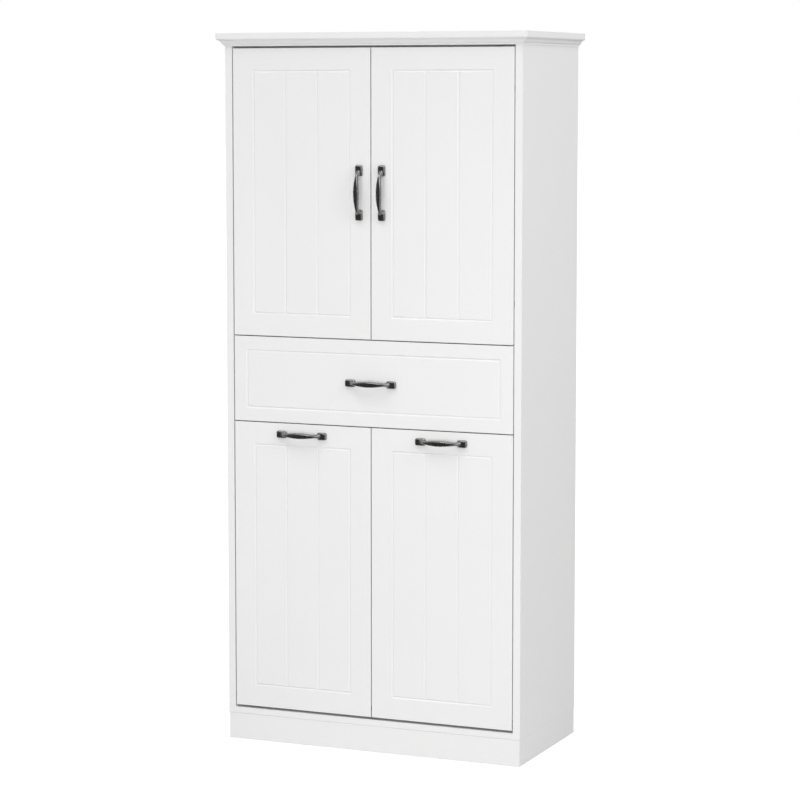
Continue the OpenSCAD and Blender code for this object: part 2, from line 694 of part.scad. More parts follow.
side(-1) handle_at(bin_c, false);  // bin_left_handle
bin_sides(-1);  // bin_left_sides
bin_back(-1);  // bin_left_back
bin_base(-1);  // bin_left_base
bin_pins(-1);  // bin_left_pins
bin_screws(-1);  // bin_left_screws
bin_bag(-1);  // bin_left_bag
bin_front(1);  // bin_right_front
handle_at(bin_c, false);  // bin_right_handle
bin_sides(1);  // bin_right_sides
bin_back(1);  // bin_right_back
bin_base(1);  // bin_right_base
bin_pins(1);  // bin_right_pins
bin_screws(1);  // bin_right_screws
bin_bag(1);  // bin_right_bag
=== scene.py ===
import bpy, bmesh, math
import numpy as np
from mathutils import Matrix, Vector


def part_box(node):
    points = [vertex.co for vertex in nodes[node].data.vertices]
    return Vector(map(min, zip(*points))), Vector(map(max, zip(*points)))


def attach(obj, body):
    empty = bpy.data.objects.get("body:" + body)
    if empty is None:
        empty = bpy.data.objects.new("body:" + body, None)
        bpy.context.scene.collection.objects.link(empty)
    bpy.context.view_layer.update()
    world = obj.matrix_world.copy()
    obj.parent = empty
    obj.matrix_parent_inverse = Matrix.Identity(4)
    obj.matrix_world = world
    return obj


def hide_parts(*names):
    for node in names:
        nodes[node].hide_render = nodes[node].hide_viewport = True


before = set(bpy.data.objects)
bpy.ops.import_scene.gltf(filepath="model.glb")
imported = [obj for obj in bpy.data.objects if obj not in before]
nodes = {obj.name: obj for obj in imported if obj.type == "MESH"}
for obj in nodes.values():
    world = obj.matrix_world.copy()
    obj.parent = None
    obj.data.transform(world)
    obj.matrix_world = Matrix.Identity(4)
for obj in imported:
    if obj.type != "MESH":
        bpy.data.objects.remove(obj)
bpy.context.view_layer.update()
bpy.context.view_layer.update()
MM = 0.001

# ---------------------------------------------------------------- places taken from the frame
box = {n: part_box(n) for n in nodes}
F = box["side_panel_left"][0][1]             # plane of the fronts
B = box["side_panel_left"][1][1]             # back
W = box["side_panel_right"][1][0]            # outer face of a side panel
I = box["side_panel_right"][0][0]            # its inner face


# ---------------------------------------------------------------- shader helpers
class Mat:
    """A node material with a Principled shader and short calls for the rest."""

    def __init__(self, name):
        self.m = bpy.data.materials.new(name)
        self.m.use_nodes = True
        self.t = self.m.node_tree
        self.t.nodes.clear()
        self.out = self.t.nodes.new("ShaderNodeOutputMaterial")
        self.p = self.t.nodes.new("ShaderNodeBsdfPrincipled")
        self.t.links.new(self.p.outputs[0], self.out.inputs[0])
        self.co = self.t.nodes.new("ShaderNodeTexCoord").outputs["Object"]

    def set(self, **kw):
        for k, v in kw.items():
            k = k.replace("_", " ")
            s = self.p.inputs[k]
            s.default_value = (*v, 1.0) if isinstance(v, tuple) and len(v) < len(s.default_value) else v
        return self

    def node(self, kind, **kw):
        n = self.t.nodes.new(kind)
        for k, v in kw.items():
            setattr(n, k, v)
        return n

    def link(self, a, b):
        self.t.links.new(a, b)

    def mapping(self, scale=(1, 1, 1), rot=(0, 0, 0)):
        n = self.node("ShaderNodeMapping")
        n.inputs["Scale"].default_value = scale
        n.inputs["Rotation"].default_value = rot
        self.link(self.co, n.inputs["Vector"])
        return n.outputs[0]

    def noise(self, scale, detail=2.0, rough=0.5, vec=None, distort=0.0):
        n = self.node("ShaderNodeTexNoise")
        n.inputs["Scale"].default_value = scale
        n.inputs["Detail"].default_value = detail
        n.inputs["Roughness"].default_value = rough
        n.inputs["Distortion"].default_value = distort
        self.link(vec or self.co, n.inputs["Vector"])
        return n.outputs["Fac"]

    def ramp(self, fac, stops):
        n = self.node("ShaderNodeValToRGB")
        el = n.color_ramp.elements
        while len(el) < len(stops):
            el.new(0.5)
        for e, (pos, c) in zip(el, stops):
            e.position = pos
            e.color = (*c, 1.0) if len(c) == 3 else c
        self.link(fac, n.inputs[0])
        return n.outputs[0]

    def range(self, v, a, b, c, d):
        n = self.node("ShaderNodeMapRange")
        for k, x in zip(("From Min", "From Max", "To Min", "To Max"), (a, b, c, d)):
            n.inputs[k].default_value = x
        self.link(v, n.inputs["Value"])
        return n.outputs[0]

    def math(self, op, a, b=None, clamp=False):
        n = self.node("ShaderNodeMath", operation=op, use_clamp=clamp)
        for i, x in enumerate((a, b)):
            if x is None:
                continue
            if isinstance(x, (int, float)):
                n.inputs[i].default_value = x
            else:
                self.link(x, n.inputs[i])
        return n.outputs[0]

    def mix(self, fac, a, b):
        n = self.node("ShaderNodeMix", data_type="RGBA")
        if isinstance(fac, (int, float)):
            n.inputs[0].default_value = fac
        else:
            self.link(fac, n.inputs[0])
        for i, x in ((6, a), (7, b)):
            if isinstance(x, tuple):
                n.inputs[i].default_value = (*x, 1.0)
            else:
                self.link(x, n.inputs[i])
        return n.outputs[2]

    def color(self, v):
        self.link(v, self.p.inputs["Base Color"])
        return self

    def rough(self, v):
        self.link(v, self.p.inputs["Roughness"])
        return self

    def bump(self, *layers, dist=0.001):
        """Each layer is a height (0..1) and its strength; they are stacked."""
        prev = None
        for h, s, d in layers:
            b = self.node("ShaderNodeBump")
            b.inputs["Strength"].default_value = s
            b.inputs["Distance"].default_value = d
            self.link(h, b.inputs["Height"])
            if prev is not None:
                self.link(prev, b.inputs["Normal"])
            prev = b.outputs[0]
        self.link(prev, self.p.inputs["Normal"])
        return self


# ---------------------------------------------------------------- materials
def foil_white():
    """Satin white foil pressed on fibreboard: nearly smooth, with a faint orange peel."""
    m = Mat("foil_white")
    m.set(Specular_IOR_Level=0.42)
    cloud = m.noise(3.1, 3, 0.55)
    m.color(m.mix(m.range(cloud, 0.35, 0.65, 0, 1), (0.800, 0.800, 0.797), (0.812, 0.813, 0.812)))
    fine = m.noise(240, 4, 0.6)
    m.rough(m.range(fine, 0.3, 0.7, 0.33, 0.41))
    m.bump((m.noise(900, 2, 0.5), 0.035, 0.0003), (m.noise(60, 2, 0.5), 0.02, 0.0008))
    return m.m


def board_white(name, tint=(0.800, 0.800, 0.797)):
    """White melamine on chipboard, with its fine pearl texture."""
    m = Mat(name)
    m.set(Specular_IOR_Level=0.4)
    cloud = m.noise(2.3, 2, 0.5)
    m.color(m.mix(m.range(cloud, 0.35, 0.65, 0, 1), tint, tuple(min(1, c * 1.012) for c in tint)))
    pearl = m.noise(1100, 2, 0.55)
    m.rough(m.range(m.noise(150, 3, 0.6), 0.3, 0.7, 0.40, 0.50))
    m.bump((pearl, 0.09, 0.0002), (m.noise(30, 2, 0.5), 0.02, 0.001))
    return m.m


def hardboard():
    """Hardboard: painted white on the cupboard's side, bare brown fibre behind."""
    m = Mat("hardboard_back")
    m.set(Specular_IOR_Level=0.3)
    sep = m.node("ShaderNodeSeparateXYZ")
    m.link(m.co, sep.inputs[0])
    behind = m.math("GREATER_THAN", sep.outputs["Y"], B - 0.0005)
    fibre = m.noise(260, 5, 0.7, vec=m.mapping((1, 1, 0.35)))
    clump = m.noise(14, 4, 0.6)
    brown = m.mix(m.math("MULTIPLY", fibre, 1.0), (0.235, 0.150, 0.090), (0.400, 0.285, 0.190))
    brown = m.mix(m.range(clump, 0.4, 0.7, 0, 0.35), brown, (0.29, 0.195, 0.125))
    white = m.mix(m.noise(3, 2, 0.5), (0.77, 0.77, 0.765), (0.80, 0.80, 0.795))
    m.color(m.mix(behind, white, brown))
    m.rough(m.range(behind, 0, 1, 0.42, 0.78))
    m.bump((fibre, 0.35, 0.0004), (m.noise(900, 2, 0.5), 0.1, 0.0002))
    return m.m


def black_handle():
    """Smooth gun-metal plating on a cast handle, a little paler where edges are rubbed."""
    m = Mat("handle_black")
    m.set(Metallic=0.96, Specular_IOR_Level=0.5, Coat_Weight=0.3, Coat_Roughness=0.16)
    geo = m.node("ShaderNodeNewGeometry")
    edge = m.range(geo.outputs["Pointiness"], 0.52, 0.60, 0, 1)
    speck = m.noise(420, 4, 0.65)
    worn = m.math("MULTIPLY", edge, m.range(speck, 0.35, 0.65, 0.2, 1), clamp=True)
    base = m.mix(m.noise(90, 3, 0.6), (0.205, 0.203, 0.197), (0.250, 0.246, 0.238))
    m.color(m.mix(worn, base, (0.330, 0.315, 0.295)))
    m.rough(m.range(m.noise(160, 3, 0.6), 0.3, 0.7, 0.20, 0.30))
    m.bump((m.noise(700, 3, 0.6), 0.06, 0.0002), (m.noise(120, 2, 0.5), 0.04, 0.0005))
    return m.m


def steel_plated(name, tint=(0.62, 0.62, 0.60), r=(0.24, 0.38), brush=(1, 1, 1)):
    """Plated steel with faint rolling marks."""
    m = Mat(name)
    m.set(Metallic=1.0)
    lines = m.noise(420, 3, 0.7, vec=m.mapping(brush))
    spang = m.node("ShaderNodeTexVoronoi")
    spang.inputs["Scale"].default_value = 160
    m.link(m.co, spang.inputs["Vector"])
    shade = m.mix(m.range(spang.outputs["Distance"], 0.0, 0.8, 0, 1), tint, tuple(c * 0.86 for c in tint))
    m.color(m.mix(m.range(lines, 0.35, 0.65, 0, 0.5), shade, tuple(min(1, c * 1.12) for c in tint)))
    m.rough(m.range(lines, 0.3, 0.7, *r))
    m.bump((lines, 0.06, 0.0002), (m.noise(40, 2, 0.5), 0.03, 0.0006))
    return m.m


def nylon(name="nylon_white", tint=(0.76, 0.76, 0.745)):
    m = Mat(name)
    m.set(Subsurface_Weight=0.08, Subsurface_Radius=(0.0015, 0.0012, 0.001), Specular_IOR_Level=0.45)
    m.color(m.mix(m.noise(60, 3, 0.6), tint, tuple(c * 0.94 for c in tint)))
    m.rough(m.range(m.noise(300, 3, 0.6), 0.3, 0.7, 0.42, 0.55))
    m.bump((m.noise(1300, 2, 0.5), 0.08, 0.00015), (m.noise(200, 2, 0.5), 0.04, 0.0003))
    return m.m


def canvas(name="bag_canvas"):
    """Plain-weave cotton canvas: two crossed sets of yarns with slubs."""
    m = Mat(name)
    m.set(Specular_IOR_Level=0.18, Sheen_Weight=0.25, Sheen_Roughness=0.5, Sheen_Tint=(0.9, 0.88, 0.84))
    uv = m.node("ShaderNodeTexCoord").outputs["UV"]
    # yarns of 0.8 mm: the piece's UVs are in metres
    def yarn(axis, dens=1250.0):
        mp = m.node("ShaderNodeMapping")
        m.link(uv, mp.inputs["Vector"])
        w = m.node("ShaderNodeTexWave", wave_type="BANDS", bands_direction=axis, wave_profile="SIN")
        w.inputs["Scale"].default_value = dens / 20.0
        w.inputs["Distortion"].default_value = 0.6
        w.inputs["Detail"].default_value = 2
        w.inputs["Detail Scale"].default_value = 3
        m.link(mp.outputs[0], w.inputs["Vector"])
        return w.outputs["Fac"]
    a, b = yarn("X"), yarn("Y")
    chk = m.node("ShaderNodeTexChecker")
    chk.inputs["Scale"].default_value = 1250.0
    m.link(uv, chk.inputs["Vector"])
    over = chk.outputs["Fac"]
    weave = m.math("ADD", m.math("MULTIPLY", a, over), m.math("MULTIPLY", b, m.math("SUBTRACT", 1.0, over)))
    slub = m.node("ShaderNodeTexNoise")
    slub.inputs["Scale"].default_value = 90
    slub.inputs["Detail"].default_value = 4
    m.link(uv, slub.inputs["Vector"])
    # the colour darkens a little in soft random patches
    dark_patches = m.noise(9, 3, 0.55)
    base = m.mix(m.range(slub.outputs["Fac"], 0.35, 0.65, 0, 1), (0.640, 0.600, 0.520), (0.715, 0.680, 0.605))
    base = m.mix(m.math("MULTIPLY", weave, 0.30), base, (0.78, 0.75, 0.68))
    m.color(m.mix(m.range(dark_patches, 0.4, 0.7, 0, 0.22), base, (0.56, 0.515, 0.435)))
    m.rough(m.range(weave, 0, 1, 0.82, 0.95))
    m.bump((weave, 0.35, 0.0005), (slub.outputs["Fac"], 0.2, 0.0006))
    return m.m


def sewing_thread():
    """Twisted cotton thread, a little lighter than the canvas."""
    m = Mat("sewing_thread")
    m.set(Specular_IOR_Level=0.25, Sheen_Weight=0.2, Sheen_Roughness=0.4)
    twist = m.noise(2600, 2, 0.5, vec=m.mapping((1, 1, 1), (0.6, 0.3, 0.4)))
    m.color(m.mix(m.range(twist, 0.35, 0.65, 0, 1), (0.70, 0.66, 0.58), (0.80, 0.77, 0.70)))
    m.rough(m.range(twist, 0.3, 0.7, 0.6, 0.8))
    m.bump((twist, 0.3, 0.0002))
    return m.m


def floor_mat(name, low, high, glow):
    """Pale seamless paper: matt, very slightly cloudy."""
    m = Mat(name)
    m.set(Specular_IOR_Level=0.1, Emission_Color=(1.0, 1.0, 1.0), Emission_Strength=glow)
    m.color(m.mix(m.noise(1.7, 2, 0.5), (low, low, low), (high, high, high)))
    m.rough(m.range(m.noise(20, 2, 0.5), 0.3, 0.7, 0.70, 0.78))
    return m.m


M_FOIL = foil_white()
M_BOARD = board_white("melamine_white")
M_INNER = board_white("melamine_inner", (0.792, 0.792, 0.786))
M_HARD = hardboard()
M_BLACK = black_handle()
M_ZINC = steel_plated("steel_zinc", (0.60, 0.61, 0.61), (0.30, 0.44), (1, 0.15, 1))
M_NICKEL = steel_plated("steel_nickel", (0.66, 0.655, 0.63), (0.16, 0.28), (1, 1, 0.2))
M_NYLON = nylon()
M_CANVAS = canvas()
M_THREAD = sewing_thread()
M_PAPER = floor_mat("studio_paper", 0.30, 0.31, 0.86)
M_GROUND = floor_mat("studio_ground", 0.49, 0.51, 0.0)


# ---------------------------------------------------------------- CAD nodes: finish and softened edges
def soften(o, width, segments=2, angle=30.0, clamp=True):
    """Rounds a CAD board's sharp edges a little. The node's own mesh stays as it is."""
    w = o.modifiers.new("weld", "WELD")
    w.merge_threshold = 2e-6
    b = o.modifiers.new("edge", "BEVEL")
    b.width = width
    b.segments = segments
    b.limit_method = "ANGLE"
    b.angle_limit = math.radians(angle)
    b.use_clamp_overlap = clamp
    b.loop_slide = False
    b.harden_normals = False
    b.face_strength_mode = "FSTR_ALL"
    n = o.modifiers.new("normals", "WEIGHTED_NORMAL")
    n.keep_sharp = False
    n.use_face_influence = True
    n.weight = 80


def paint(name, mat):
    o = nodes[name]
    o.data.materials.clear()
    o.data.materials.append(mat)
    for p in o.data.polygons:
        p.material_index = 0


front_nodes = ["door_left", "door_right", "drawer_front", "bin_left_front", "bin_right_front",
               "top_board", "cornice_front", "cornice_left", "cornice_right"]
outer_nodes = ["side_panel_left", "side_panel_right", "plinth_front", "plinth_left", "plinth_right", "plinth_back"]
for n in nodes:
    if n in front_nodes:
        paint(n, M_FOIL)
    elif n in outer_nodes:
        paint(n, M_BOARD)
    elif n.startswith("back_panel"):
        paint(n, M_HARD)
    elif n.endswith("handle"):
        paint(n, M_BLACK)
    elif n in ("glides", "shelf_pins", "bin_stops"):
        paint(n, M_NYLON)
    elif n.endswith("_bag"):
        paint(n, M_CANVAS)
    elif "hinge" in n:
        paint(n, M_NICKEL)
    elif n.endswith("screws") or n.endswith("pins") or "runner" in n or "bracket" in n or n == "cam_fittings":
        paint(n, M_ZINC)
    else:
        paint(n, M_INNER)

for n in ["side_panel_left", "side_panel_right"]:
    soften(nodes[n], 0.0006, 2)
for n in ["door_left", "door_right", "drawer_front", "bin_left_front", "bin_right_front"]:
    soften(nodes[n], 0.0004, 2, 35, clamp=False)
for n in ["carcass_top", "upper_shelf", "lower_shelf", "bottom_panel", "centre_divider", "back_rail", "adjustable_shelves",
          "drawer_sides", "drawer_back", "bin_left_sides", "bin_left_back", "bin_left_base", "bin_right_sides", "bin_right_back",
          "bin_right_base", "plinth_front", "plinth_left", "plinth_right"]:
    soften(nodes[n], 0.0004, 2)


# ---------------------------------------------------------------- mesh helpers
def new_mesh(name, verts, faces, mat, smooth=True, uv=None):
    me = bpy.data.meshes.new(name)
    me.from_pydata([tuple(v) for v in verts], [], [tuple(f) for f in faces])
    me.validate()
    o = bpy.data.objects.new(name, me)
    bpy.context.scene.collection.objects.link(o)
    me.materials.append(mat)
    if smooth:
        me.polygons.foreach_set("use_smooth", [True] * len(me.polygons))
    if uv is not None:
        layer = me.uv_layers.new(name="UVMap")
        for li, l in enumerate(me.loops):
            layer.data[li].uv = uv[l.vertex_index]
    me.update()
    return o


def loft(sections, cap=True):
    """Quads between closed sections of equal length; the ends are closed with fans of quads."""
    n = len(sections[0])
    verts = [p for s in sections for p in s]
    faces = []
    for i in range(len(sections) - 1):
        for j in range(n):
            k = (j + 1) % n
            faces.append((i * n + j, (i + 1) * n + j, (i + 1) * n + k, i * n + k))
    if cap:
        for base, flip in ((0, False), ((len(sections) - 1) * n, True)):
            for j in range(n // 2 - 1):
                q = [base + j, base + j + 1, base + n - 2 - j, base + n - 1 - j]
                if len(set(q)) == 4:
                    faces.append(tuple(q[::-1] if flip else q))
    return verts, faces


def apply_modifiers(o):
    dg = bpy.context.evaluated_depsgraph_get()
    e = o.evaluated_get(dg)
    me = bpy.data.meshes.new_from_object(e, preserve_all_data_layers=True, depsgraph=dg)
    old = o.data
    o.modifiers.clear()
    o.data = me
    bpy.data.meshes.remove(old)
    return o


# ---------------------------------------------------------------- bow handles
PITCH = 0.096
OUT = F - box["drawer_handle"][0][1]         # how far a handle stands out
HALF = (box["drawer_handle"][1][0] - box["drawer_handle"][0][0]) / 2


def superpoint(a, p):
    c, s = math.cos(a), math.sin(a)
    return math.copysign(abs(c) ** (2 / p), c), math.copysign(abs(s) ** (2 / p), s)


def curve_at(pts, t):
    """Catmull-Rom through the points, t from 0 to 1."""
    n = len(pts) - 1
    f = min(max(t, 0.0), 1.0) * n
    i = min(int(f), n - 1)
    u = f - i
    p0, p1, p2, p3 = pts[max(i - 1, 0)], pts[i], pts[i + 1], pts[min(i + 2, n)]
    return [0.5 * (2 * b + (c - a) * u + (2 * a - 5 * b + 4 * c - d) * u * u + (3 * b - a - 3 * c + d) * u ** 3)
            for a, b, c, d in zip(p0, p1, p2, p3)]


# half of the bow from its root in the foot to its middle, in millimetres:
# outer line (x, out), inner line (x, out), half width, share of the width that is left at the outer face
BOW = [
    ((47.0, 5.2), (43.5, 1.5), 6.0, 0.82),
    ((45.0, 6.9), (41.0, 1.5), 6.0, 0.78),
    ((43.0, 8.6), (38.4, 2.2), 5.5, 0.68),
    ((41.0, 10.8), (36.0, 4.4), 4.8, 0.58),
    ((38.8, 13.6), (33.8, 7.2), 4.1, 0.50),
    ((36.0, 16.2), (31.6, 9.8), 3.8, 0.46),
    ((32.4, 18.3), (29.2, 11.7), 3.9, 0.48),
    ((28.0, 19.7), (25.8, 13.0), 4.3, 0.54),
    ((22.5, 20.8), (21.0, 13.8), 4.9, 0.62),
    ((16.0, 21.5), (15.2, 14.3), 5.5, 0.69),
    ((8.0, 21.9), (7.7, 14.7), 6.0, 0.73),
    ((0.0, 22.0), (0.0, 14.8), 6.2, 0.75),
]


def handle_mesh():
    """Cast bow handle along X with its feet's undersides at y = 0, standing out along -Y."""
    parts = []
    rows = [(o[0], o[1], i[0], i[1], w, k) for o, i, w, k in BOW]
    rows += [(-o[0], o[1], -i[0], i[1], w, k) for o, i, w, k in BOW[-2::-1]]
    n, m = 88, 24
    secs = []
    for q in range(n + 1):
        ox, oy, ix, iy, w, k = curve_at(rows, q / n)
        cx, cy = (ox + ix) / 2, (oy + iy) / 2
        ax, ay = (ox - ix) / 2, (oy - iy) / 2
        ring = []
        for j in range(m):
            c, s_ = superpoint(2 * math.pi * j / m, 4.0)
            # c = 1 is the outer face and -1 the inner one; the flanks slope between them
            share = k + (1 - k) * min(1.0, (1 - c) / 1.6)
            if c < -0.6:
                share *= 1 - 0.18 * ((-0.6 - c) / 0.4) ** 2
            ring.append(((cx + ax * c) * MM, -(cy + ay * c) * MM, w * share * s_ * MM))
        secs.append(ring)
    parts.append(loft(secs))
    # the feet: boxes with rounded corners and a domed, smaller top
    for sx in (-1, 1):
        x_out = HALF
        secs = []
        m2 = 40
        for d, inset in ((0.0, 0.15), (0.0006, 0.0), (0.0030, 0.0), (0.0046, 0.25), (0.0058, 0.7), (0.0067, 1.4), (0.0073, 2.4)):
            ring = []
            x_in = 0.0330 + 0.0052 * max(0.0, d - 0.0012) / 0.006      # the shoulder slopes up towards the neck
            for j in range(m2):
                c, s_ = superpoint(2 * math.pi * j / m2, 5.5)
                hx = (x_out - x_in) / 2 - inset * MM
                ring.append((sx * ((x_out + x_in) / 2 + hx * c), -d, (0.0075 - inset * MM) * s_))
            secs.append(ring if sx > 0 else ring[::-1])
        parts.append(loft(secs))
    verts, faces = [], []
    for v, f in parts:
        b0 = len(verts)
        verts += v
        faces += [tuple(i + b0 for i in q) for q in f]
    o = new_mesh("handle_proto", verts, faces, M_BLACK)
    bm = bmesh.new()
    bm.from_mesh(o.data)
    bmesh.ops.recalc_face_normals(bm, faces=bm.faces)
    bm.to_mesh(o.data)
    bm.free()
    r = o.modifiers.new("remesh", "REMESH")
    r.mode = "VOXEL"
    r.voxel_size = 0.00034
    r.use_smooth_shade = True
    s = o.modifiers.new("smooth", "SMOOTH")
    s.factor = 0.5
    s.iterations = 6
    apply_modifiers(o)
    # keep the true size after smoothing
    me = o.data
    co = np.zeros(len(me.vertices) * 3)
    me.vertices.foreach_get("co", co)
    co = co.reshape(-1, 3)
    co[:, 0] *= HALF / np.abs(co[:, 0]).max()
    co[:, 1] = np.clip(co[:, 1] * (OUT / -co[:, 1].min()), -OUT, 0.0)
    me.vertices.foreach_set("co", co.ravel())
    me.update()
    d = o.modifiers.new("fewer", "DECIMATE")
    d.ratio = 0.22
    apply_modifiers(o)
    o.data.polygons.foreach_set("use_smooth", [True] * len(o.data.polygons))
    return o


proto = handle_mesh()
handles = {
    "door_left_handle": "left_door", "door_right_handle": "right_door", "drawer_handle": "drawer",
    "bin_left_handle": "left_bin", "bin_right_handle": "right_bin",
}
for node, body in handles.items():
    lo, hi = box[node]
    me = proto.data.copy()
    me.name = node + "_cast"
    upright = (hi[2] - lo[2]) > (hi[0] - lo[0])
    rot = Matrix.Rotation(math.radians(90), 4, "Y") if upright else Matrix.Identity(4)
    me.transform(Matrix.Translation(((lo[0] + hi[0]) / 2, F, (lo[2] + hi[2]) / 2)) @ rot)
    o = bpy.data.objects.new(node + "_cast", me)
    bpy.context.scene.collection.objects.link(o)
    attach(o, body)
    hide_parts(node)
bpy.data.objects.remove(proto)


# ---------------------------------------------------------------- laundry bags
BAG_CLOTH = 0.0011        # canvas
HEM = 0.026               # depth of the folded hem
SAG = 0.0095              # how far the slack walls hang inwards


def ring_at(x0, x1, y0, y1, r, s):
    """Point and inward direction at distance s round a rectangle with rounded corners, from the middle of its back."""
    straight = [(x1 - x0) / 2 - r, y1 - y0 - 2 * r, x1 - x0 - 2 * r, y1 - y0 - 2 * r, (x1 - x0) / 2 - r]
    arc = math.pi * r / 2
    total = 2 * (x1 - x0 + y1 - y0 - 4 * r) + 4 * arc
    s = s % total
    at = Vector(((x0 + x1) / 2, y1))
    along = Vector((1.0, 0.0))
    for k in range(5):
        if s <= straight[k] or k == 4:
            p = at + along * s
            return p, Vector((along.y, -along.x)), total
        at = at + along * straight[k]
        s -= straight[k]
        turn = Vector((along.y, -along.x))        # clockwise seen from above
        c = at + turn * r
        if s <= arc:
            a = s / r
            d = -turn * math.cos(a) + along * math.sin(a)
            return c + d * r, -d, total
        at = c + along * r
        along = turn
        s -= arc
    return at, Vector((0.0, 0.0)), total


def soft_noise(u, v, seed):
    """Smooth sum of waves, the same on every run; u goes once round the bag from 0 to 1."""
    rng = np.random.RandomState(seed)
    out = np.zeros_like(u)
    for k in range(14):
        n = int(rng.randint(2, 15))
        q = rng.uniform(-9.0, 9.0)
        out += np.sin(2 * math.pi * n * u + q * v * 6.0 + rng.uniform(0, 6.28)) / (0.6 * n + 1.5)
    return out / 1.6


def laundry_bag(node, body, seed):
    """Open-topped canvas bag: slack walls with creases, a base that lies flat, a folded and stitched hem."""
    lo, hi = box[node]
    x0, x1, y0, y1, z0, z1 = lo[0], hi[0], lo[1], hi[1], lo[2], hi[2]
    t = BAG_CLOTH
    r0 = 0.016
    g = t / 2 + 0.0004
    X0, X1, Y0, Y1 = x0 + g, x1 - g, y0 + g, y1 - g
    total = ring_at(X0, X1, Y0, Y1, r0, 0.0)[2]
    cols = 264
    # rows: (height above the base's underside, distance inwards, kind)
    top = z1 - z0 - t / 2
    rows = []
    for k in range(6):                                            # inner layer of the hem, upwards
        f = k / 5
        rows.append((top - HEM + (HEM - 0.0012) * f, 0.0014 + 0.0004 * math.sin(math.pi * f), "hem"))
    for k in range(1, 6):                                         # rolled over at the rim
        a = math.pi * k / 6
        rows.append((top - 0.0009 + 0.0009 * math.sin(a), 0.0008 + 0.0008 * math.cos(a), "hem"))
    for k in range(9):                                            # outer layer beside the hem
        rows.append((top - 0.0012 - (HEM - 0.0012) * k / 8, 0.0, "hem"))
    wall_top, wall_low = top - HEM, 0.016
    n_wall = 84
    for k in range(1, n_wall + 1):
        rows.append((wall_top + (wall_low - wall_top) * k / n_wall, 0.0, "wall"))
    for k in range(1, 6):                                         # rounded into the base
        a = math.pi / 2 * k / 5
        rows.append((t / 2 + 0.0002 + (wall_low - t / 2) * (1 - math.sin(a)), wall_low * (1 - math.cos(a)) * 0.9, "turn"))
    half = min(X1 - X0, Y1 - Y0) / 2
    inner0 = rows[-1][1]
    for k in range(1, 25):
        rows.append((t / 2 + 0.0002, inner0 + (half - inner0 - 0.0006) * k / 24, "base"))

    u = (np.arange(cols) / cols)
    grid = np.zeros((len(rows), cols, 3))
    cx, cy = (X0 + X1) / 2, (Y0 + Y1) / 2
    places = stud_places(X0, X1, Y0, Y1, r0, total)
    dips = [dip_at(total * j / cols, places, total) for j in range(cols)]
    crease = [(0.06, 1.6, 0.55), (0.19, -2.2, 0.35), (0.31, 1.1, 0.62), (0.44, 2.0, 0.30), (0.57, -1.4, 0.5), (0.69, 2.4, 0.68),
              (0.82, -1.8, 0.42), (0.93, 1.3, 0.25)]
    rng = np.random.RandomState(seed)
    crease = [(a + rng.uniform(-0.02, 0.02), b * rng.uniform(0.7, 1.3), c + rng.uniform(-0.06, 0.06)) for a, b, c in crease]
    for i, (h, inset, kind) in enumerate(rows):
        v = h / top
        # how slack the wall is at this height: taut at the hem, slackest below the middle
        slack = 0.0
        if kind == "wall":
            f = (wall_top - h) / (wall_top - wall_low)
            slack = math.sin(math.pi * min(1.0, f * 1.04)) ** 0.8 * (0.55 + 0.45 * f)
        elif kind == "hem":
            slack = 0.06
        w = soft_noise(u, np.full(cols, v), seed)
        for j in range(cols):
            s = total * j / cols
            if kind == "base":
                m = inset
                k2 = (half - m) / half
                p, nrm, _ = ring_at(X0, X1, Y0, Y1, r0, s)
                # rings shrink towards a short line in the middle of the base
                line_x = max(0.0, (X1 - X0) / 2 - half)
                px = cx + (p.x - cx) * 1.0
                d = Vector((px - cx, p.y - cy))
                qx = math.copysign(min(abs(d.x), line_x), d.x)
                q = Vector((qx, 0.0))
                pos = q + (d - q) * k2
                z = z0 + h
                edge = min(1.0, (m - inner0) / 0.03)
                edge *= min(1.0, 0.25 + (half - m) / 0.03)
                z += edge * 0.0016 * (0.5 + 0.5 * math.sin(31 * pos.x + 5 * math.sin(19 * pos.y + seed) + seed)) \
                    + edge * 0.0022 * max(0.0, math.sin(17 * pos.y - 23 * pos.x + 2.1 * seed)) ** 6
                grid[i, j] = (cx + pos.x, cy + pos.y, z)
                continue
            p, nrm, _ = ring_at(X0, X1, Y0, Y1, r0, s)
            # the middle of each wall hangs in furthest; the corners stay out
            near = min(abs(p.x - X0), abs(X1 - p.x)) if abs(nrm.y) > 0.7 else min(abs(p.y - Y0), abs(Y1 - p.y))
            belly = min(1.0, max(0.0, (near - 0.012) / 0.075))
            belly = belly * belly * (3 - 2 * belly)
            ins = inset + slack * (SAG * (0.62 * belly + 0.12) + 0.0046 * belly * w[j] + 0.0008 * w[j])
            for c0, lean, mid in crease:
                du = (u[j] - c0 - 0.02 * lean * (v - mid) + 0.5) % 1.0 - 0.5
                ins += slack * belly * 0.0062 * math.exp(-(du / 0.0085) ** 2 - ((v - mid) / 0.26) ** 2)
            z = z0 + h
            if kind != "wall" and kind != "turn":
                # the rim dips a little between the studs that hold it
                z -= 0.0030 * dips[j]
            elif kind == "wall":
                f = (wall_top - h) / (wall_top - wall_low)
                z -= 0.0030 * dips[j] * (1 - f) ** 3
                z += 0.0010 * w[j] * slack
            ins = max(ins, inset)
            grid[i, j] = (p.x + nrm.x * ins, p.y + nrm.y * ins, z)

    # seams: an upright one at each back corner, as soft ridges
    for i, (h, inset, kind) in enumerate(rows):
        for j in range(cols):
            s = total * j / cols
            p, nrm, _ = ring_at(X0, X1, Y0, Y1, r0, s)
            if kind == "wall":
                for c0 in SEAMS(X0, X1, Y0, Y1, r0, total):
                    d = abs((s - c0 + total / 2) % total - total / 2)
                    if d < 0.005:
                        k2 = 0.0011 * math.cos(math.pi * d / 0.010) ** 2
                        grid[i, j, 0] += nrm.x * k2
                        grid[i, j, 1] += nrm.y * k2

